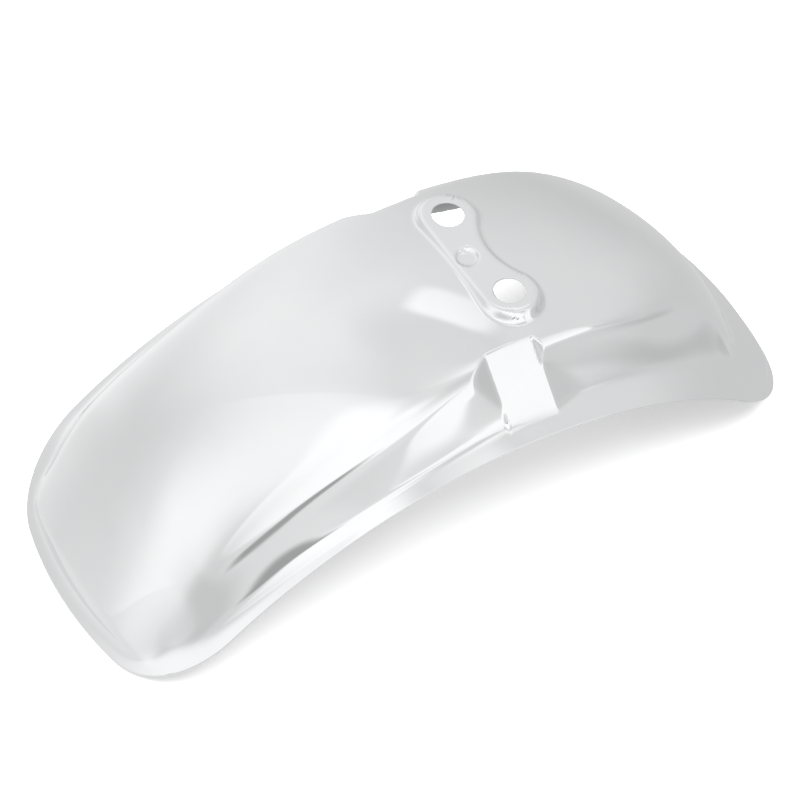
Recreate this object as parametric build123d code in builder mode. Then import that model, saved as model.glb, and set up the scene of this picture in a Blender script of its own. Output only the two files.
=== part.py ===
from build123d import *
from collections import namedtuple
from math import cos, radians, sin, sqrt
import os

# Front mudguard pressed from one chromed sheet. Millimetres; +X is forward, +Y is across, +Z is up.
# The sheet is the space between two forms: form(0) is its outer side, form(sheet) its inner side.

# Sheet and overall shape
sheet = 1.2
ball_radius = 304.5         # the lip lies on a ball of this radius
reach = 238.4               # from the middle to either end, along X
tail_half = 95.0            # half width of the lip near the tail
nose_half = 97.5            # half width of the lip near the nose
tail_corner = 55.0
nose_corner = 63.0
rim = 5.5                   # narrowest lip, left outside the raised ends

# The part stands on the level edges of its two ends, so this is how far the ball's middle lies under them
ball_depth = sqrt((ball_radius - sheet) ** 2 - reach**2)
centre = Vector(0, 0, -ball_depth)

# Raised dome: sections square to the ball, each turned about the ball's cross axis by `turn` degrees.
# crown: height over the ball; half and drop: where the shoulder is; foot and wall: where the side wall ends,
# a little under the ball; soft: radius of the shoulder.
Section = namedtuple("Section", "turn crown half drop foot wall soft")
sections = (
    Section(turn=-56, crown=3.0, half=70.0, drop=34.0, foot=76.0, wall=14.0, soft=6),
    Section(turn=-50, crown=9.8, half=71.0, drop=23.0, foot=77.0, wall=12.0, soft=6),
    Section(turn=-44, crown=17.0, half=73.0, drop=20.5, foot=82.0, wall=11.0, soft=8),
    Section(turn=-36, crown=27.3, half=72.0, drop=14.0, foot=90.0, wall=28.8, soft=10),
    Section(turn=-25, crown=36.2, half=69.3, drop=11.5, foot=91.5, wall=40.7, soft=14),
    Section(turn=-9, crown=39.0, half=67.0, drop=9.0, foot=89.0, wall=45.3, soft=17),
    Section(turn=8, crown=39.2, half=65.8, drop=7.0, foot=87.0, wall=46.9, soft=14),
    Section(turn=22, crown=36.5, half=63.0, drop=8.5, foot=84.5, wall=42.0, soft=16),
    Section(turn=31, crown=26.5, half=59.5, drop=10.3, foot=79.5, wall=29.5, soft=14),
    Section(turn=38, crown=14.0, half=58.0, drop=12.0, foot=72.0, wall=14.5, soft=10),
    Section(turn=47, crown=-5.0, half=52.0, drop=14.0, foot=62.0, wall=10.0, soft=8),
)
cove = 0.12                 # how hollow the side walls are, as a part of their length
root = 104.5                # how far under the ball the solid dome reaches

# Shallow swell behind the front rim: the ball again, moved forward and down
swell_forward = 18.6
swell_down = 16.9

# Boss across the crown, with two bolt holes and a dimple between them
bolt_spacing = 66.0
bolt_diameter = 19.0
boss_x = 33.7
boss_rise = 40.5            # over the ball's top
boss_root = 40.0            # how far down its walls go into the dome
boss_lobe = 16.5            # radius round each hole
boss_waist = 6.4            # from the line of the holes to the hollow front edge
boss_draft = 26.0
boss_edge = 3.5
dimple_x = 26.0
dimple_diameter = 14.5
dimple_floor = 11.0
dimple_depth = 1.8

# Flat-faced blister on each side, under the boss
blister_x = 17.8
blister_y = 75.2
blister_rise = 9.7          # its middle, over the level of the ball's top
blister_lean = 63.5         # degrees between the face's normal and straight up
blister_rake = 7.4          # degrees by which the face tilts backwards
blister_width = 31.2
blister_height = 100.0      # of its walls, before its round top cuts them
blister_top = 37.0          # its round top, over the ball
blister_depth = 20.0
blister_back = 46.0         # how far its walls have spread at that depth
blister_front = 52.0
blister_back_edge = 4.0
blister_front_edge = 8.0
blister_top_edge = 3.0


def lip_outline(inset):
    """Plan of the sheet: round ends, straight sides, rounded corners."""
    with BuildSketch() as plan:
        with BuildLine():
            Polyline(
                (-reach, -tail_half),
                (reach, -nose_half),
                (reach, nose_half),
                (-reach, tail_half),
                close=True,
            )
        make_face()
        Circle(reach, mode=Mode.INTERSECT)
        fillet(plan.vertices().group_by(Axis.X)[0], tail_corner)
        fillet(plan.vertices().group_by(Axis.X)[-1], nose_corner)
        if inset > 0:
            offset(amount=-inset, mode=Mode.REPLACE)
    return plan.sketch


def dome(inset):
    """The raised middle, lofted through its sections."""
    bottom = ball_radius - root
    with BuildPart() as body:
        for s in sections:
            across = Plane(centre, x_dir=(0, 1, 0), z_dir=(cos(radians(s.turn)), 0, -sin(radians(s.turn))))
            top = ball_radius + s.crown
            shoulder = Vector(s.half, top - s.drop)
            foot = Vector(s.foot, shoulder.Y - s.wall)
            run = foot - shoulder
            hollow = (shoulder + foot) * 0.5 + Vector(run.Y, -run.X) * cove
            with BuildSketch(across) as cut:
                with BuildLine():
                    ThreePointArc((-shoulder.X, shoulder.Y), (0, top), (shoulder.X, shoulder.Y))
                    ThreePointArc(shoulder, hollow, foot)
                    Polyline(foot, (foot.X, bottom), (-foot.X, bottom), (-foot.X, foot.Y))
                    ThreePointArc((-foot.X, foot.Y), (-hollow.X, hollow.Y), (-shoulder.X, shoulder.Y))
                make_face()
                fillet(cut.vertices().group_by(Axis.Y)[-1], s.soft)
                if inset > 0:
                    offset(amount=-inset, mode=Mode.REPLACE)
        loft()
    return body.part


def boss_outline(inset):
    """Plan of the boss: straight at the back, two lobes, waisted at the front."""
    lobe = boss_lobe - inset
    half = bolt_spacing / 2
    waist = boss_waist - inset
    bend = (half**2 + waist**2 - lobe**2) / (2 * (lobe - waist))
    away = Vector(waist + bend, -half).normalized()
    touch = Vector(0, half) + away * lobe
    with BuildSketch() as plan:
        with BuildLine():
            Line((-lobe, -half), (-lobe, half))
            ThreePointArc((-lobe, half), (0, half + lobe), touch)
            ThreePointArc(touch, (waist, 0), (touch.X, -touch.Y))
            ThreePointArc((touch.X, -touch.Y), (0, -half - lobe), (-lobe, -half))
        make_face()
    return plan.sketch


def boss(inset):
    """Flat-topped boss with sloping walls and a rounded top edge."""
    top = centre + Vector(boss_x, 0, ball_radius + boss_rise - inset)
    with BuildPart() as body:
        with BuildSketch(Plane(top)):
            add(boss_outline(inset))
        extrude(amount=-boss_root, taper=-boss_draft)
        fillet(body.faces().sort_by(Axis.Z)[-1].edges(), boss_edge - inset)
    return body.part


def dimple(inset):
    """What the dimple takes out of the boss."""
    with BuildPart() as body:
        with Locations(centre + Vector(dimple_x, 0, ball_radius + boss_rise - inset)):
            Cone(
                bottom_radius=dimple_floor / 2 + inset,
                top_radius=dimple_diameter / 2 + inset,
                height=dimple_depth,
                align=(Align.CENTER, Align.CENTER, Align.MAX),
            )
    return body.part


def blister(inset):
    """Flat face that bridges the hollow side wall, with walls that spread as they go in."""
    face = Plane(
        centre + Vector(blister_x, -blister_y, ball_radius + blister_rise),
        x_dir=(1, 0, 0),
        z_dir=(0, -sin(radians(blister_lean)), cos(radians(blister_lean))),
    ).rotated((0, 0, blister_rake)).offset(-inset)
    outward = Axis(face.origin, face.z_dir)
    half = blister_width / 2 - inset / 2
    with BuildPart() as body:
        with BuildSketch(face):
            Rectangle(2 * half, blister_height)
        with BuildSketch(face.offset(-blister_depth)):
            with Locations(((blister_front - blister_back) / 2, 0)):
                Rectangle(2 * half + blister_front + blister_back, blister_height)
        loft()
        sides = body.faces().sort_by(outward)[-1].edges().sort_by(Axis.X)
        back = sides[0]
        front_middle = sides[-1].center()
        fillet(back, blister_back_edge - inset)
        fillet(body.edges().sort_by_distance(front_middle)[0], blister_front_edge - inset)
        with Locations(centre):
            Sphere(ball_radius + blister_top - inset, mode=Mode.INTERSECT)
        brow = body.faces().filter_by(GeomType.SPHERE)[0].edges().sort_by(outward)[1:]
        fillet(brow, blister_top_edge - inset)
    return body.part


def form(inset):
    """Solid under one side of the sheet."""
    floor = Plane(centre)
    with BuildPart() as raised:
        add(dome(inset))
        with Locations(centre + Vector(swell_forward, 0, -swell_down)):
            Sphere(ball_radius - inset)
        with BuildSketch(floor):
            add(lip_outline(rim + inset))
        extrude(amount=2 * ball_radius, mode=Mode.INTERSECT)
    with BuildPart() as body:
        with Locations(centre):
            Sphere(ball_radius - inset)
        add(raised.part)
        add(blister(inset))
        add(mirror(blister(inset), about=Plane.XZ, mode=Mode.PRIVATE))
        add(boss(inset))
        add(dimple(inset), mode=Mode.SUBTRACT)
    return body.part


with BuildPart() as mudguard:
    add(form(0))
    add(form(sheet), mode=Mode.SUBTRACT)
    with BuildSketch(Plane(centre)):
        add(lip_outline(0))
    extrude(amount=2 * ball_radius, mode=Mode.INTERSECT)
    with Locations(centre + Vector(boss_x, 0, ball_radius + boss_rise)):
        with GridLocations(0, bolt_spacing, 1, 2):
            Hole(bolt_diameter / 2, depth=boss_root)

mudguard.part.label = "mudguard"
os.makedirs("parts", exist_ok=True)
export_step(mudguard.part, "parts/mudguard.step")
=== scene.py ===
"""Front mudguard pressed from one chromed sheet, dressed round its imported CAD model."""
import math
from types import SimpleNamespace

import bmesh
import bpy
import numpy as np
from bpy.props import FloatProperty, FloatVectorProperty, IntProperty, PointerProperty
from mathutils import Matrix, Vector


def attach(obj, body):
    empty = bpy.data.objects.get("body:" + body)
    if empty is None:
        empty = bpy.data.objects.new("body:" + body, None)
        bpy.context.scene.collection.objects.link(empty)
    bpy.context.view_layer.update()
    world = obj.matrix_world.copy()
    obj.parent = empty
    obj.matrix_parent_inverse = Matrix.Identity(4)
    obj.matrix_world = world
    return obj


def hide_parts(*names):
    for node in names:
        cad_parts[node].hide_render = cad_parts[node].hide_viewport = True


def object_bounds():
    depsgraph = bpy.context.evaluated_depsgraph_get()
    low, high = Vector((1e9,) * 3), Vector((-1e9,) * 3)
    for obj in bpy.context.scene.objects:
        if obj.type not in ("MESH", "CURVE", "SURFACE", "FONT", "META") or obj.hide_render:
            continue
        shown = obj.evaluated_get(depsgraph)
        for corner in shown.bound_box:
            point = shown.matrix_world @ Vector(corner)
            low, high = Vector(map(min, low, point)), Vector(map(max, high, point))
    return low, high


bl_info = {
    "name": "Front mudguard",
    "version": (1, 0, 0),
    "blender": (4, 5, 0),
    "location": "3D View > Sidebar > Mudguard",
    "description": "Presses a chromed front mudguard from one sheet and sets it on a studio stage",
    "category": "Object",
}

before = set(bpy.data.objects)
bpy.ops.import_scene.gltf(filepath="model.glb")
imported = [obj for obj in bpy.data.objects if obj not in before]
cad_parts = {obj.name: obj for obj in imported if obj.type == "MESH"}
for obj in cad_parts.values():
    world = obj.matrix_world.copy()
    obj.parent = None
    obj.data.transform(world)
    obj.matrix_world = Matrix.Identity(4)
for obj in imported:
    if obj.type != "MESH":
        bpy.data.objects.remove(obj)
cad_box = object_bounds()

MM = 0.001

# How round the form's edges and hollows are, in millimetres
FLAT_BACK_EDGE = 0.8    # of the fork flat, where it is cut into the wall
FLAT_FRONT_EDGE = 1.2   # of the fork flat, where it stands out of the wall
FLAT_RIM = 1.6          # between the fork flat and the dome
RAISED_EDGE = 2.0       # of the raised forms, along the lip's rim
WALL_FOOT = 4.0         # between the side walls and the lip
BOSS_EDGE = 3.0
BOSS_FOOT = 3.0
DIMPLE_EDGE = 0.8

FLAT_COVER = 2.5        # millimetres of crown over what the fork flat adds
FLAT_STEEP = 1.0        # spread of the fork flat's two short flanks for their height
FIRST_EASE = 5.0        # how many times rounder the edges are at the first stroke
LONGEST_STEP = 1.5      # millimetres that a stroke moves a point at most

# The dome's cross sections, each turned about the ball's cross axis, in degrees and millimetres:
# turn, crown over the ball, half width and drop of the shoulder, half width and fall of the side wall, how hollow
# that wall is as a part of its length, softness of the shoulder
SECTIONS = np.array((
    (-56, 3.0, 70.0, 34.0, 76.0, 14.0, 0.02, 6),
    (-50, 9.8, 72.0, 24.5, 77.5, 10.5, 0.02, 6),
    (-44, 17.0, 75.8, 25.0, 79.9, 3.0, 0.02, 8),
    (-36, 27.3, 72.5, 19.6, 90.3, 24.3, 0.02, 11),
    (-25, 36.2, 71.2, 19.5, 92.2, 35.4, 0.02, 15),
    (-9, 39.0, 72.2, 12.7, 87.1, 45.3, -0.02, 18),
    (8, 39.2, 67.6, 7.3, 85.8, 51.2, 0.07, 18),
    (22, 36.5, 65.2, 10.6, 83.1, 43.3, 0.1, 17),
    (31, 26.5, 56.3, 10.4, 78.3, 30.0, 0.1, 14),
    (38, 14.0, 57.5, 12.0, 72.0, 14.5, 0.08, 10),
    (47, -5.0, 52.0, 14.0, 62.0, 10.0, 0.05, 8),
))

# The tent's cards and flags: azimuth, elevation and roll, half width and half height, all in degrees; how soft the
# edge is; brightness. Later ones hang in front of earlier ones.
CARDS = (
    ("far wall", -174, 52, 42, 69.2, 54.6, 0.07, 1.06),
    ("tail flag", -137, 12, 41, 29.9, 28.1, 0.90, 0.74),
    ("tail column", -82, 18, 29, 11.7, 20.7, 0.90, 1.15),
    ("near softbox", -2, 43, -31, 36.6, 36.6, 0.05, 1.16),
    ("near flag", -43, -1, 31, 19.5, 30.0, 0.90, 0.72),
    ("near side flag", 37, 59, -18, 14.6, 36.3, 0.51, 0.71),
    ("zenith flag", 87, 77, -9, 28.3, 13.0, 0.33, 0.84),
    ("front flag", 79, -20, 18, 36.7, 57.4, 0.25, 0.68),
    ("front wall", 130, 4, 1, 26.9, 40.8, 0.88, 0.64),
    ("near card", 32, 10, -19, 9.4, 32.9, 0.05, 1.12),
    ("low flag", 58, -18, 36, 20.6, 7.4, 0.90, 0.57),
    ("front strip", 134, 58, -10, 7.7, 4.4, 0.24, 1.14),
    ("near line", -12, 3, 88, 2.5, 11.5, 0.45, 0.4),
    ("boss strip", 49, 48, 82, 22.2, 6.0, 0.90, 1.30),
    ("shoulder flag", 85, 42, -4, 37.0, 19.6, 0.77, 0.80),
    ("side flag", -32, -6, -20, 35.2, 6.6, 0.54, 0.65),
)


def millimetres(name, text, default):
    """A length that a user may change, with its default given in millimetres."""
    return FloatProperty(name=name, description=text, default=default * MM, min=0.01 * MM, precision=4, unit="LENGTH")


def angle(name, text, default):
    """An angle that a user may change, with its default given in degrees."""
    return FloatProperty(name=name, description=text, default=math.radians(default), subtype="ANGLE")


class MudguardShape(bpy.types.PropertyGroup):
    """Sizes of the pressed sheet."""

    sheet: millimetres("Sheet", "Thickness of the sheet", 1.2)
    ball_radius: millimetres("Ball radius", "Radius of the ball that the lip lies on", 304.5)
    reach: millimetres("Reach", "From the middle to either end", 238.4)
    tail_half: millimetres("Tail half width", "Half width of the lip near the tail", 95.0)
    nose_half: millimetres("Nose half width", "Half width of the lip near the nose", 97.5)
    tail_corner: millimetres("Tail corner", "Radius of the tail's corners", 55.0)
    nose_corner: millimetres("Nose corner", "Radius of the nose's corners", 63.0)
    rim: millimetres("Rim", "Narrowest lip, left outside the raised ends", 5.5)
    swell_forward: millimetres("Swell forward", "How far the swell behind the front rim lies forward", 18.6)
    swell_down: millimetres("Swell down", "How far the swell's ball lies under the lip's ball", 16.9)
    bolt_spacing: millimetres("Bolt spacing", "Distance between the two bolt holes", 66.0)
    bolt_diameter: millimetres("Bolt hole", "Diameter of each bolt hole", 19.0)
    boss_x: millimetres("Boss forward", "Where the line of the bolt holes lies, forward of the middle", 33.7)
    boss_rise: millimetres("Boss rise", "Height of the boss over the ball", 40.5)
    boss_lobe: millimetres("Boss lobe", "Radius of the boss round each hole", 16.5)
    boss_waist: millimetres("Boss waist", "From the line of the holes to the hollow front edge", 6.4)
    boss_draft: angle("Boss draft", "Slope of the boss's walls", 26.0)
    dimple_x: millimetres("Dimple forward", "Where the dimple lies, forward of the middle", 26.0)
    dimple_diameter: millimetres("Dimple", "Diameter of the dimple at the top", 14.5)
    dimple_floor: millimetres("Dimple floor", "Diameter of the dimple's floor", 11.0)
    dimple_depth: millimetres("Dimple depth", "Depth of the dimple", 1.8)
    flat_x: millimetres("Flat forward", "Middle of the fork flat's face, forward of the middle", 18.6)
    flat_y: millimetres("Flat out", "Middle of the fork flat's face, out from the middle", 73.3)
    flat_rise: millimetres("Flat rise", "Middle of the fork flat's face, over the ball's top", 9.3)
    flat_lean: angle("Flat lean", "How far the fork flat's face leans over", 62.3)
    flat_rake: angle("Flat rake", "How far the fork flat's face tilts backwards", 8.2)
    flat_width: millimetres("Flat width", "Width of the fork flat's face", 30.6)
    flat_back: FloatProperty(name="Flat back", description="How far the back wall spreads for its height",
                             default=2.6, min=0.1)
    flat_front: FloatProperty(name="Flat front", description="How far the front wall spreads for its height",
                              default=3.2, min=0.1)
    edge_round: millimetres("Edge round", "Rounding of the sheet's cut edges", 0.35)
    rows: IntProperty(name="Rows", description="Faces of the blank along the mudguard", default=300, min=60)
    columns: IntProperty(name="Columns", description="Faces of the blank across the mudguard", default=150, min=30)
    strokes: IntProperty(name="Strokes", description="How often the blank is eased and pressed again",
                         default=60, min=1)


def in_millimetres(shape):
    """The shape's sizes as plain numbers, with lengths in millimetres."""
    sizes = {}
    for prop in shape.bl_rna.properties:
        value = getattr(shape, prop.identifier)
        sizes[prop.identifier] = value / MM if prop.type == "FLOAT" and prop.unit == "LENGTH" else value
    return SimpleNamespace(**sizes)


class ChromeFinish(bpy.types.PropertyGroup):
    """Look of the chrome plate."""

    tint: FloatVectorProperty(name="Tint", description="Colour of the bright plate", subtype="COLOR", size=3,
                              default=(0.87, 0.875, 0.88), min=0, max=1)
    film_tint: FloatVectorProperty(name="Film tint", description="Colour where a film lies on the plate",
                                   subtype="COLOR", size=3, default=(0.85, 0.855, 0.865), min=0, max=1)
    inside_tint: FloatVectorProperty(name="Inside tint", description="Colour of the thin plate inside",
                                     subtype="COLOR", size=3, default=(0.3, 0.305, 0.31), min=0, max=1)
    roughness: FloatProperty(name="Roughness", description="How far the bright plate blurs reflections",
                             default=0.035, min=0, max=1, subtype="FACTOR")
    film_roughness: FloatProperty(name="Film roughness", description="How far the film blurs reflections",
                                  default=0.075, min=0, max=1, subtype="FACTOR")
    inside_roughness: FloatProperty(name="Inside roughness", description="How far the dull inside blurs reflections",
                                    default=0.3, min=0, max=1, subtype="FACTOR")
    wave: FloatProperty(name="Waves", description="Height of the slow waves that pressing leaves in the sheet",
                        default=0.00002, min=0, precision=6, unit="LENGTH")


class StudioStage(bpy.types.PropertyGroup):
    """Floor and light of the studio."""

    floor_colour: FloatVectorProperty(name="Floor", description="Colour of the floor", subtype="COLOR", size=3,
                                      default=(0.9, 0.9, 0.9), min=0, max=1)
    floor_glow: FloatProperty(name="Floor glow", description="Light that the floor, a lit table, gives by itself",
                              default=0.35, min=0)
    tent: FloatProperty(name="Tent", description="Brightness of the tent's cloth between its cards",
                        default=0.86, min=0)
    key_power: FloatProperty(name="Key light", description="Power of the large light overhead",
                             default=110.0, min=0, unit="POWER")


# Smooth ways to join two shapes that are given by their distance: negative inside

def meet(a, b, soft):
    """Inside both, with a rounded edge."""
    h = np.maximum(soft - np.abs(a - b), 0) / soft
    return np.maximum(a, b) + h**3 * soft / 6


def join(a, b, soft):
    """Inside either, with a rounded hollow."""
    return -meet(-a, -b, soft)


def section_values(turn):
    """The section's sizes at any turn: a natural cubic spline through the sections."""
    at, rows = SECTIONS[:, 0], SECTIONS[:, 1:]
    step = np.diff(at)
    slope = np.diff(rows, axis=0) / step[:, None]
    bend = np.eye(len(at))
    side = np.zeros_like(rows)
    for i in range(1, len(at) - 1):
        bend[i, i - 1:i + 2] = step[i - 1], 2 * (step[i - 1] + step[i]), step[i]
        side[i] = 6 * (slope[i] - slope[i - 1])
    curve = np.linalg.solve(bend, side)
    turn = np.clip(turn, at[0], at[-1])
    i = np.clip(np.searchsorted(at, turn) - 1, 0, len(at) - 2)
    a = ((at[i + 1] - turn) / step[i])[:, None]
    b = 1 - a
    arc = (a**3 - a) * curve[i] + (b**3 - b) * curve[i + 1]
    return (a * rows[i] + b * rows[i + 1] + arc * step[i][:, None] ** 2 / 6).T


class Form:
    """The die that the sheet is pressed over: distances in millimetres from the middle of the lip's ball."""

    def __init__(self, shape):
        self.s = shape
        self.ease = 1.0
        self.depth = math.sqrt((shape.ball_radius - shape.sheet) ** 2 - shape.reach**2)
        self.corners = [self.corner(-1, shape.tail_corner), self.corner(1, shape.nose_corner)]

    def side_normal(self):
        """Outward direction of the lip's straight side, in plan."""
        lean = (self.s.tail_half - self.s.nose_half) / (2 * self.s.reach)
        return np.array((lean, 1.0)) / math.hypot(lean, 1.0)

    def side_distance(self):
        """How far the lip's straight side lies from the middle."""
        return self.side_normal() @ np.array((0.0, (self.s.tail_half + self.s.nose_half) / 2))

    def corner(self, end, radius):
        """Middle of a corner's arc, the directions in which the arc starts and ends, and its radius."""
        out = self.side_normal()
        along = np.array((out[1], -out[0])) * end
        level = self.side_distance() - radius
        reach = self.s.reach - radius
        middle = out * level + along * math.sqrt(reach**2 - level**2)
        return middle, middle / reach, out, radius

    def outline(self, x, y):
        """Distance to the lip's edge in plan."""
        y = np.abs(y)
        out = self.side_normal()
        edge = np.maximum(out[0] * x + out[1] * y - self.side_distance(), np.hypot(x, y) - self.s.reach)
        for middle, start, end, radius in self.corners:
            dx, dy = x - middle[0], y - middle[1]
            sign = np.sign(start[0] * end[1] - start[1] * end[0])
            between = (sign * (start[0] * dy - start[1] * dx) > 0) & (sign * (dx * end[1] - dy * end[0]) > 0)
            edge = np.where(between, np.hypot(dx, dy) - radius, edge)
        return edge

    def dome(self, x, y, z):
        """The raised middle: its crowned top, and that top between two hollow side walls."""
        crown, half, drop, foot, wall, cove, soft = section_values(np.degrees(np.arctan2(x, z)))
        y, level = np.abs(y), np.hypot(x, z)
        top = self.s.ball_radius + crown
        arch = (half**2 + drop**2) / (2 * drop)
        above = np.hypot(y, level - (top - arch)) - arch
        run = np.hypot(foot - half, wall)
        across, down = (foot - half) / run, wall / run
        out, under = y - half, top - drop - level
        part = (out * across + under * down) / run
        outside = out * down - under * across + 4 * cove * run * part * (1 - part)
        return above, meet(above, outside, (0.6 * soft + 0.5) * self.ease)

    def boss(self, x, y, z):
        """Flat-topped boss: straight at the back, a lobe round each hole, waisted at the front."""
        s = self.s
        x, y, half = x - s.boss_x, np.abs(y), s.bolt_spacing / 2
        bend = (half**2 + s.boss_waist**2 - s.boss_lobe**2) / (2 * (s.boss_lobe - s.boss_waist))
        hub = s.boss_waist + bend
        lobe = np.hypot(x, y - half) - s.boss_lobe
        waist = np.maximum(-x - s.boss_lobe, bend - np.hypot(x - hub, y))
        between = (y < half) & (hub * (half - y) - half * x > 0)
        plan = np.where(between, waist, lobe)
        top = s.ball_radius + s.boss_rise
        draft = min(s.boss_draft * self.ease, math.radians(55))
        side = (plan - (top - z) * math.tan(draft)) * math.cos(draft)
        return meet(side, z - top, BOSS_EDGE * self.ease)

    def dimple(self, x, y, z):
        """What the dimple takes out of the boss."""
        s = self.s
        floor = s.ball_radius + s.boss_rise - s.dimple_depth
        flare = (s.dimple_diameter - s.dimple_floor) / (2 * s.dimple_depth)
        side = np.hypot(x - s.dimple_x, y) - s.dimple_floor / 2 - (z - floor) * flare
        return meet(side / math.hypot(1, flare), floor - z, DIMPLE_EDGE)

    def flat(self, x, y, z):
        """The flat for a fork leg: what it takes off the side wall, and what it adds where the wall lies deeper."""
        s = self.s
        out, up = np.abs(y) - s.flat_y, z - s.ball_radius - s.flat_rise
        height = out * math.sin(s.flat_lean) + up * math.cos(s.flat_lean)
        slant = up * math.sin(s.flat_lean) - out * math.cos(s.flat_lean)
        along = (x - s.flat_x) * math.cos(s.flat_rake) + slant * math.sin(s.flat_rake)
        cut, fill = -height, height
        for side, rise, sink in ((-along, s.flat_back, FLAT_STEEP), (along, FLAT_STEEP, s.flat_front)):
            past = side - s.flat_width / 2
            cut = meet(cut, (past - height * rise) / math.hypot(1, rise), FLAT_BACK_EDGE * self.ease)
            fill = meet(fill, (past + height * sink) / math.hypot(1, sink), FLAT_FRONT_EDGE * self.ease)
        return cut, fill

    def distance(self, p):
        """Distance to the outer side of the sheet."""
        s = self.s
        x, y, z = p.T
        ball = np.sqrt(x**2 + y**2 + z**2) - s.ball_radius
        swell = np.sqrt((x - s.swell_forward) ** 2 + y**2 + (z + s.swell_down) ** 2) - s.ball_radius
        top, dome = self.dome(x, y, z)
        cut, fill = self.flat(x, y, z)
        dome = join(dome, meet(fill, top + FLAT_COVER, FLAT_RIM * self.ease), FLAT_RIM * self.ease)
        dome = meet(dome, -cut, FLAT_RIM * self.ease)
        edge = self.outline(x, y) + s.rim
        lip = join(ball, meet(swell, edge, RAISED_EDGE * self.ease), RAISED_EDGE * self.ease)
        whole = join(lip, meet(dome, edge, RAISED_EDGE * self.ease), WALL_FOOT * self.ease)
        whole = join(whole, self.boss(x, y, z), BOSS_FOOT)
        return meet(whole, -self.dimple(x, y, z), DIMPLE_EDGE)

    def normal(self, p):
        """Slope of the distance, by small steps."""
        step = 0.02
        probes = np.array(((1, -1, -1), (-1, -1, 1), (-1, 1, -1), (1, 1, 1)), float)
        slope = sum(k * self.distance(p + k * step)[:, None] for k in probes)
        return slope / (4 * step)

    def press(self, p, times=1):
        """Moves points onto the form."""
        for _ in range(times):
            n = self.normal(p)
            step = np.clip(self.distance(p) / np.maximum((n**2).sum(1), 0.5), -LONGEST_STEP, LONGEST_STEP)
            p = p - n * step[:, None]
        return p

    def stamp(self, p):
        """First stroke: moves points along the lines through the ball's middle, from outside onto the form."""
        ray = p / np.linalg.norm(p, axis=1)[:, None]
        low = np.full(len(p), self.s.ball_radius - 2.0)
        high = np.full(len(p), self.s.ball_radius + 60.0)
        for _ in range(22):
            middle = (low + high) / 2
            outside = self.distance(ray * middle[:, None]) > 0
            high = np.where(outside, middle, high)
            low = np.where(outside, low, middle)
        return ray * ((low + high) / 2)[:, None]


def edge_lines(form):
    """The lip's edge on the ball as two long lines and two end lines, each from corner to corner."""
    (tail, tail_out, side, tail_radius), (nose, nose_out, _, nose_radius) = form.corners

    def arc(middle, start, end, radius, share):
        a, b = math.atan2(start[1], start[0]), math.atan2(end[1], end[0])
        turn = a + (b - a) * np.linspace(0, 1, 80) * share
        return middle + radius * np.column_stack((np.cos(turn), np.sin(turn)))

    tail_side = arc(tail, side, tail_out, tail_radius, 0.5)
    nose_side = arc(nose, side, nose_out, nose_radius, 0.5)
    long_line = np.vstack((tail_side[::-1], nose_side))
    ends = []
    for middle, out, radius in ((tail, tail_out, tail_radius), (nose, nose_out, nose_radius)):
        corner = arc(middle, out, side, radius, 0.5)
        low = math.atan2(out[1], abs(out[0]))
        sweep = np.linspace(0, low, 160)
        circle = form.s.reach * np.column_stack((np.sign(out[0]) * np.cos(sweep), np.sin(sweep)))
        half = np.vstack((circle, corner[1:]))
        ends.append(np.vstack((half[::-1] * (1, -1), half[1:])))
    return long_line, ends[0], ends[1]


def along(line, radius, share):
    """Points at a share of a line's length, measured on the ball."""
    level = np.sqrt(radius**2 - (line**2).sum(1))
    solid = np.column_stack((line, level))
    run = np.concatenate(([0], np.cumsum(np.linalg.norm(np.diff(solid, axis=0), axis=1))))
    run /= run[-1]
    return np.column_stack([np.interp(share, run, line[:, k]) for k in (0, 1)])


def lay_out(form, rows, columns):
    """Places the blank's grid inside the lip's edge, in plan, closer together round the boss and the fork flats."""
    u = np.linspace(0, 1, rows + 1)
    fine = np.linspace(0, 1, 2000)
    closer, middle, reach = 0.45, 0.545, 0.115      # by how much, where along the guard, and how far each way
    pace = 1 / (1 - closer * np.exp(-(((fine - middle) / reach) ** 4)))
    pace = np.concatenate(([0], np.cumsum((pace[1:] + pace[:-1]) / 2)))
    u = np.interp(u, pace / pace[-1], fine)
    v = np.linspace(0, 1, columns + 1)
    long_line, tail_line, nose_line = edge_lines(form)
    far = along(long_line, form.s.ball_radius, u)
    near = far * (1, -1)
    tail = along(tail_line, form.s.ball_radius, v)
    nose = along(nose_line, form.s.ball_radius, v)
    u, v = u[:, None, None], v[None, :, None]
    plan = near[:, None] * (1 - v) + far[:, None] * v + tail[None] * (1 - u) + nose[None] * u
    plan = plan - ((1 - u) * (1 - v) * near[0] + (1 - u) * v * far[0] + u * (1 - v) * near[-1] + u * v * far[-1])
    return plan


def on_disc(across, up):
    """Moves a point of a square to the disc inside it, so that the square's edge becomes the disc's edge."""
    size = max(abs(across), abs(up))
    if size == 0:
        return np.zeros(2)
    if abs(across) >= abs(up):
        turn = math.pi / 4 * up / across
        return across * np.array((math.cos(turn), math.sin(turn)))
    turn = math.pi / 4 * across / up
    return up * np.array((math.sin(turn), math.cos(turn)))


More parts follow.
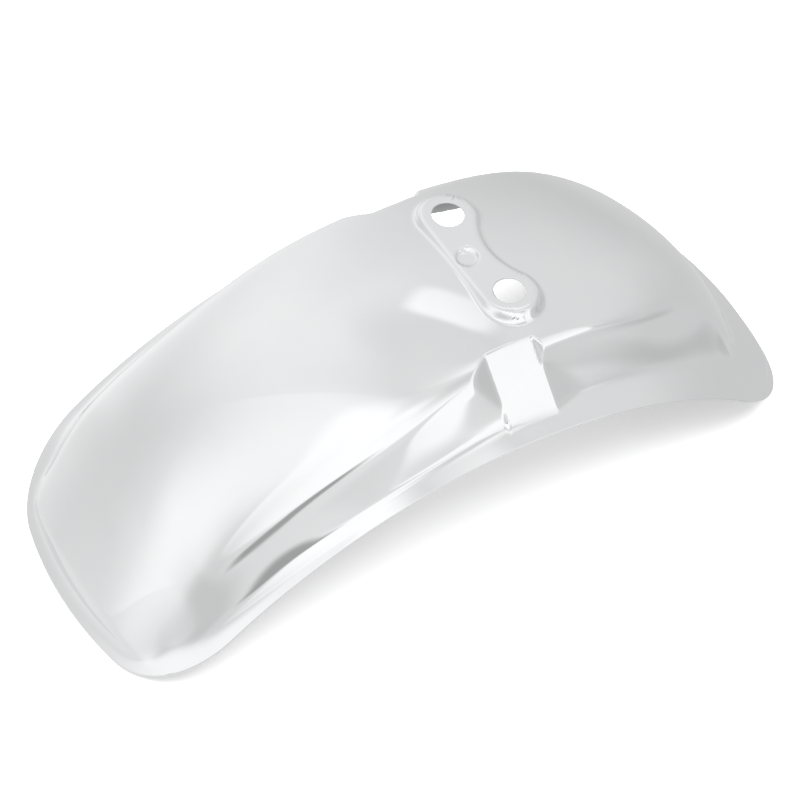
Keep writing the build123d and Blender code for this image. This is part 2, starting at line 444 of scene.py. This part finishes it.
def draw_sheet(form, rows, columns, strokes):
    """Presses the blank's grid over the form. Gives its points, and marks those on (1) and in (2) the bolt holes."""
    s = form.s
    plan = lay_out(form, rows, columns)
    points = np.dstack((plan, np.sqrt(s.ball_radius**2 - (plan**2).sum(2))))
    inner = np.zeros(plan.shape[:2], bool)
    inner[1:-1, 1:-1] = True
    form.ease = FIRST_EASE
    points[inner] = form.stamp(points[inner])

    # Punch: the points of a square block round each hole's middle are set on the hole's disc
    hole = np.zeros(plan.shape[:2], int)
    radius = s.bolt_diameter / 2
    for side in (-1, 1):
        middle = np.array((s.boss_x, side * s.bolt_spacing / 2))
        i, j = np.unravel_index(np.argmin(((plan - middle) ** 2).sum(2)), plan.shape[:2])
        block = 2 * 0.89 * radius       # a little smaller than the hole, so that the faces round it aren't crowded
        wide = int(round(block / np.linalg.norm(plan[i + 1, j] - plan[i - 1, j])))
        tall = int(round(block / np.linalg.norm(plan[i, j + 1] - plan[i, j - 1])))
        for a in range(-wide, wide + 1):
            for b in range(-tall, tall + 1):
                spot = middle + on_disc(a / wide, b / tall) * radius
                points[i + a, j + b] = spot[0], spot[1], s.ball_radius + s.boss_rise
                hole[i + a, j + b] = 1 if abs(a) == wide or abs(b) == tall else 2
    free = inner & (hole == 0)

    # Ease the sheet and press it again, less softly each time, so that steep walls get their share of points
    for stroke in range(strokes):
        form.ease = max(1.0, FIRST_EASE * (1 - 1.6 * stroke / strokes))
        mean = np.zeros_like(points)
        mean[1:-1, 1:-1] = (points[2:, 1:-1] + points[:-2, 1:-1] + points[1:-1, 2:] + points[1:-1, :-2]) / 4
        points[free] = form.press(points[free] * 0.4 + mean[free] * 0.6)
    form.ease = 1.0
    points[free] = form.press(points[free], 4)
    return points, hole


class PressMudguard(bpy.types.Operator):
    """Press the mudguard from one sheet: a flat blank is laid on the form, pressed, punched and given its thickness"""

    bl_idname = "mudguard.press_sheet"
    bl_label = "Press the mudguard"

    def execute(self, context):
        s = in_millimetres(context.scene.mudguard_shape)
        form = Form(s)
        bm = bmesh.new()
        side = bm.faces.layers.int.new("side")
        self.press(bm, s, form)
        self.thicken(bm, s, form, side)
        self.round_edges(bm, s, side)
        mesh = bpy.data.meshes.new("mudguard_sheet")
        normals = self.normals(bm, form, side)
        bm.to_mesh(mesh)
        bm.free()
        mesh.shade_smooth()
        mesh.normals_split_custom_set_from_vertices(normals)
        piece = bpy.data.objects.new("mudguard_sheet", mesh)
        context.scene.collection.objects.link(piece)
        finish = context.scene.mudguard_finish
        group = unevenness()
        mesh.materials.append(plated("bright_chrome", group, finish.tint, finish.film_tint, finish.roughness,
                                     finish.film_roughness, finish.wave))
        mesh.materials.append(plated("inside_plate", group, finish.inside_tint, finish.inside_tint * 0.92,
                                     finish.inside_roughness * 0.8, finish.inside_roughness, finish.wave * 3))
        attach(piece, "root")
        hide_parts("mudguard")
        return {"FINISHED"}

    def press(self, bm, s, form):
        """Presses the flat blank over the form and punches the bolt holes."""
        bmesh.ops.create_grid(bm, x_segments=s.rows, y_segments=s.columns, size=1.0)
        if len(bm.verts) != (s.rows + 1) * (s.columns + 1):
            raise RuntimeError("the blank's grid has an unexpected number of points")
        flat = np.array([v.co.xy for v in bm.verts])
        place = np.rint((flat + 1) / 2 * (s.rows, s.columns)).astype(int)
        points, hole = draw_sheet(form, s.rows, s.columns, s.strokes)
        lifted = np.clip((points - (0, 0, form.depth)) * MM, cad_box[0], cad_box[1])
        for v, (i, j) in zip(bm.verts, place):
            v.co = lifted[i, j]
        punched = [v for v, (i, j) in zip(bm.verts, place) if hole[i, j] == 2]
        bmesh.ops.delete(bm, geom=punched, context="VERTS")
        bmesh.ops.recalc_face_normals(bm, faces=bm.faces)
        if sum(f.normal.z for f in bm.faces) < 0:
            bmesh.ops.reverse_faces(bm, faces=bm.faces)
        bm.normal_update()

    def thicken(self, bm, s, form, side):
        """Gives the sheet its thickness inwards and cuts its edges upright."""
        outer = list(bm.verts)
        rims = [v for v in outer if v.is_boundary]
        inwards = -self.slopes(outer, form) * (s.sheet * MM)
        for f in bm.faces:
            f[side] = 1
        copy = bmesh.ops.duplicate(bm, geom=list(bm.faces))
        twin = copy["vert_map"]
        for v, step in zip(outer, inwards):
            twin[v].co = v.co + Vector(step)
        for v in rims:
            x, y = v.co.x / MM, v.co.y / MM
            if abs(form.outline(np.array((x,)), np.array((y,)))[0]) < 0.05:
                level = math.sqrt((s.ball_radius - s.sheet) ** 2 - x * x - y * y) - form.depth
                twin[v].co = (v.co.x, v.co.y, level * MM)
        inner = [f for f in copy["geom"] if isinstance(f, bmesh.types.BMFace)]
        bmesh.ops.reverse_faces(bm, faces=inner)
        for f in inner:
            f[side] = -1
            f.material_index = 1
        rings = {"edge": [], "near": [], "far": []}
        for e in bm.edges:
            if e.is_boundary:
                middle = (e.verts[0].co + e.verts[1].co) / 2 / MM
                bolt = math.hypot(middle.x - s.boss_x, abs(middle.y) - s.bolt_spacing / 2) < s.bolt_diameter
                rings[("near" if middle.y < 0 else "far") if bolt else "edge"].append(e)
        for edges in rings.values():
            for f in bmesh.ops.bridge_loops(bm, edges=edges)["faces"]:
                f[side] = 0

    def round_edges(self, bm, s, side):
        """Takes the sharpness off the cut edges."""
        sharp = [e for e in bm.edges if len({f[side] for f in e.link_faces}) > 1]
        rounded = bmesh.ops.bevel(bm, geom=sharp, offset=s.edge_round * MM, affect="EDGES", segments=2, profile=0.5,
                                  material=-1)
        for f in rounded["faces"]:
            f[side] = 0
        bm.normal_update()

    def slopes(self, verts, form):
        """Outward directions of the form at the given points."""
        slope = form.normal(np.array([v.co for v in verts]) / MM + (0, 0, form.depth))
        return slope / np.linalg.norm(slope, axis=1)[:, None]

    def normals(self, bm, form, side):
        """The form's own directions on both sides of the sheet, and the mesh's on its cut edges."""
        verts = list(bm.verts)
        found = self.slopes(verts, form)
        for k, v in enumerate(verts):
            sides = {f[side] for f in v.link_faces}
            if 1 not in sides:
                found[k] = -found[k] if -1 in sides else v.normal
        return found


def unevenness():
    """Node group for plated sheet: a cloudy film that dulls it a little, and the slow waves that pressing leaves."""
    group = bpy.data.node_groups.new("plate_unevenness", "ShaderNodeTree")
    group.interface.new_socket("Place", in_out="INPUT", socket_type="NodeSocketVector")
    for name, scale in (("Film scale", 22.0), ("Wave scale", 26.0)):
        group.interface.new_socket(name, in_out="INPUT", socket_type="NodeSocketFloat").default_value = scale
    for name in ("Film", "Wave"):
        group.interface.new_socket(name, in_out="OUTPUT", socket_type="NodeSocketFloat")
    nodes, links = group.nodes, group.links
    start = nodes.new("NodeGroupInput")
    end = nodes.new("NodeGroupOutput")
    for name, detail, rough in (("Film", 6.0, 0.62), ("Wave", 1.0, 0.4)):
        noise = nodes.new("ShaderNodeTexNoise")
        noise.inputs["Detail"].default_value = detail
        noise.inputs["Roughness"].default_value = rough
        links.new(start.outputs["Place"], noise.inputs["Vector"])
        links.new(start.outputs[name + " scale"], noise.inputs["Scale"])
        spread = nodes.new("ShaderNodeMapRange")
        spread.inputs["From Min"].default_value = 0.3
        spread.inputs["From Max"].default_value = 0.7
        links.new(noise.outputs["Fac"], spread.inputs["Value"])
        links.new(spread.outputs["Result"], end.inputs[name])
    return group


def plated(name, group, tint, film_tint, roughness, film_roughness, wave):
    """A plated face of the sheet: metal whose colour and gloss change with the film, over faint waves."""
    material = bpy.data.materials.new(name)
    material.use_nodes = True
    nodes, links = material.node_tree.nodes, material.node_tree.links
    shader = nodes["Principled BSDF"]
    shader.inputs["Metallic"].default_value = 1.0
    place = nodes.new("ShaderNodeTexCoord")
    uneven = nodes.new("ShaderNodeGroup")
    uneven.node_tree = group
    links.new(place.outputs["Object"], uneven.inputs["Place"])
    colour = nodes.new("ShaderNodeMix")
    colour.data_type = "RGBA"
    colour.inputs["A"].default_value = (*tint, 1)
    colour.inputs["B"].default_value = (*film_tint, 1)
    links.new(uneven.outputs["Film"], colour.inputs["Factor"])
    links.new(colour.outputs["Result"], shader.inputs["Base Color"])
    gloss = nodes.new("ShaderNodeMapRange")
    gloss.inputs["To Min"].default_value = roughness
    gloss.inputs["To Max"].default_value = film_roughness
    links.new(uneven.outputs["Film"], gloss.inputs["Value"])
    links.new(gloss.outputs["Result"], shader.inputs["Roughness"])
    bump = nodes.new("ShaderNodeBump")
    bump.inputs["Distance"].default_value = wave
    links.new(uneven.outputs["Wave"], bump.inputs["Height"])
    links.new(bump.outputs["Normal"], shader.inputs["Normal"])
    return material


def heading(azimuth, elevation):
    """Direction from the part: azimuth 0 is its near side and 90 its front."""
    a, e = math.radians(azimuth), math.radians(elevation)
    return Vector((math.sin(a) * math.cos(e), -math.cos(a) * math.cos(e), math.sin(e)))


def card_mask():
    """Node group: how far a direction points at a soft-edged card."""
    group = bpy.data.node_groups.new("card_mask", "ShaderNodeTree")
    for name in ("Direction", "Facing", "Across", "Up"):
        group.interface.new_socket(name, in_out="INPUT", socket_type="NodeSocketVector")
    group.interface.new_socket("Softness", in_out="INPUT", socket_type="NodeSocketFloat")
    group.interface.new_socket("Mask", in_out="OUTPUT", socket_type="NodeSocketFloat")
    nodes, links = group.nodes, group.links
    start = nodes.new("NodeGroupInput")
    end = nodes.new("NodeGroupOutput")

    def maths(operation, a, b):
        node = nodes.new("ShaderNodeMath")
        node.operation = operation
        for socket, value in zip(node.inputs, (a, b)):
            if isinstance(value, float):
                socket.default_value = value
            else:
                links.new(value, socket)
        return node.outputs[0]

    def part_along(name):
        node = nodes.new("ShaderNodeVectorMath")
        node.operation = "DOT_PRODUCT"
        links.new(start.outputs["Direction"], node.inputs[0])
        links.new(start.outputs[name], node.inputs[1])
        return node.outputs["Value"]

    fourths = []
    for name in ("Across", "Up"):
        square = maths("MULTIPLY", part_along(name), part_along(name))
        fourths.append(maths("MULTIPLY", square, square))
    edge = nodes.new("ShaderNodeMapRange")
    edge.interpolation_type = "SMOOTHSTEP"
    edge.inputs["To Min"].default_value = 1.0
    edge.inputs["To Max"].default_value = 0.0
    links.new(maths("POWER", maths("ADD", *fourths), 0.25), edge.inputs["Value"])
    links.new(maths("SUBTRACT", 1.0, start.outputs["Softness"]), edge.inputs["From Min"])
    links.new(maths("ADD", 1.0, start.outputs["Softness"]), edge.inputs["From Max"])
    ahead = maths("GREATER_THAN", part_along("Facing"), 0.0)
    links.new(maths("MULTIPLY", edge.outputs["Result"], ahead), end.inputs["Mask"])
    return group


def studio_tent(cloth):
    """A tent of pale cloth round the part, with the soft cards and flags that its chrome mirrors."""
    world = bpy.data.worlds.new("studio_tent")
    world.use_nodes = True
    nodes, links = world.node_tree.nodes, world.node_tree.links
    place = nodes.new("ShaderNodeTexCoord")
    group = card_mask()
    glow = None
    for name, azimuth, elevation, roll, wide, tall, softness, brightness in CARDS:
        facing = heading(azimuth, elevation)
        right = heading(azimuth + 90, 0)
        turn = Matrix.Rotation(math.radians(roll), 3, facing)
        across, up = turn @ right, turn @ facing.cross(right)
        card = nodes.new("ShaderNodeGroup")
        card.node_tree = group
        card.label = name
        links.new(place.outputs["Generated"], card.inputs["Direction"])
        card.inputs["Facing"].default_value = facing
        card.inputs["Across"].default_value = across / math.sin(math.radians(wide))
        card.inputs["Up"].default_value = up / math.sin(math.radians(tall))
        card.inputs["Softness"].default_value = softness
        mix = nodes.new("ShaderNodeMix")
        mix.inputs["B"].default_value = brightness
        links.new(card.outputs["Mask"], mix.inputs["Factor"])
        if glow is None:
            mix.inputs["A"].default_value = cloth
        else:
            links.new(glow, mix.inputs["A"])
        glow = mix.outputs["Result"]
    links.new(glow, nodes["Background"].inputs["Strength"])
    nodes["Background"].inputs["Color"].default_value = (1, 1, 1, 1)
    return world


class SetStage(bpy.types.Operator):
    """Set the mudguard on a pale floor under soft studio light, with the camera at the photograph's angle"""

    bl_idname = "mudguard.set_stage"
    bl_label = "Set the stage"

    def execute(self, context):
        scene = context.scene
        stage = scene.mudguard_stage
        bm = bmesh.new()
        bmesh.ops.create_grid(bm, x_segments=2, y_segments=2, size=4.0)
        mesh = bpy.data.meshes.new("studio_floor")
        bm.to_mesh(mesh)
        bm.free()
        floor = bpy.data.objects.new("studio_floor", mesh)
        scene.collection.objects.link(floor)
        paint = bpy.data.materials.new("floor_paint")
        paint.use_nodes = True
        shader = paint.node_tree.nodes["Principled BSDF"].inputs
        shader["Base Color"].default_value = (*stage.floor_colour, 1)
        shader["Roughness"].default_value = 0.8
        shader["Emission Color"].default_value = (1, 1, 1, 1)
        shader["Emission Strength"].default_value = stage.floor_glow
        mesh.materials.append(paint)
        floor.visible_glossy = False

        scene.world = studio_tent(stage.tent)
        scene.view_settings.view_transform = "Standard"

        light = bpy.data.lights.new("key_light", "AREA")
        light.energy = stage.key_power
        light.size = 2.6
        lamp = bpy.data.objects.new("key_light", light)
        lamp.location = (0, 0, 2.4)
        lamp.visible_glossy = False
        scene.collection.objects.link(lamp)

        camera = bpy.data.cameras.new("photo_camera")
        camera.lens = 125.23
        camera.sensor_width = 36
        camera.clip_end = 50
        viewer = bpy.data.objects.new("photo_camera", camera)
        right = (0.850987, -0.521591, 0.061357)
        up = (0.376470, 0.687294, 0.621206)
        back = (-0.366186, -0.505539, 0.781242)
        spot = (-0.61923, -0.83939, 1.34548)
        viewer.matrix_world = Matrix([(right[k], up[k], back[k], spot[k]) for k in range(3)] + [(0, 0, 0, 1)])
        scene.collection.objects.link(viewer)
        scene.camera = viewer
        return {"FINISHED"}


class MudguardPanel(bpy.types.Panel):
    """Steps and sizes of the mudguard"""

    bl_idname = "VIEW3D_PT_mudguard"
    bl_label = "Front mudguard"
    bl_space_type = "VIEW_3D"
    bl_region_type = "UI"
    bl_category = "Mudguard"

    def draw(self, context):
        layout = self.layout
        for name in ("mudguard_shape", "mudguard_finish", "mudguard_stage"):
            group = getattr(context.scene, name)
            for prop in group.bl_rna.properties:
                if not prop.is_readonly and prop.identifier != "name":
                    layout.prop(group, prop.identifier)
        layout.operator(PressMudguard.bl_idname)
        layout.operator(SetStage.bl_idname)


CLASSES = (MudguardShape, ChromeFinish, StudioStage, PressMudguard, SetStage, MudguardPanel)


def register():
    for c in CLASSES:
        bpy.utils.register_class(c)
    bpy.types.Scene.mudguard_shape = PointerProperty(type=MudguardShape)
    bpy.types.Scene.mudguard_finish = PointerProperty(type=ChromeFinish)
    bpy.types.Scene.mudguard_stage = PointerProperty(type=StudioStage)


def unregister():
    del bpy.types.Scene.mudguard_stage
    del bpy.types.Scene.mudguard_finish
    del bpy.types.Scene.mudguard_shape
    for c in reversed(CLASSES):
        bpy.utils.unregister_class(c)


def main():
    register()
    bpy.ops.mudguard.press_sheet()
    bpy.ops.mudguard.set_stage()


if __name__ == "__main__":
    main()
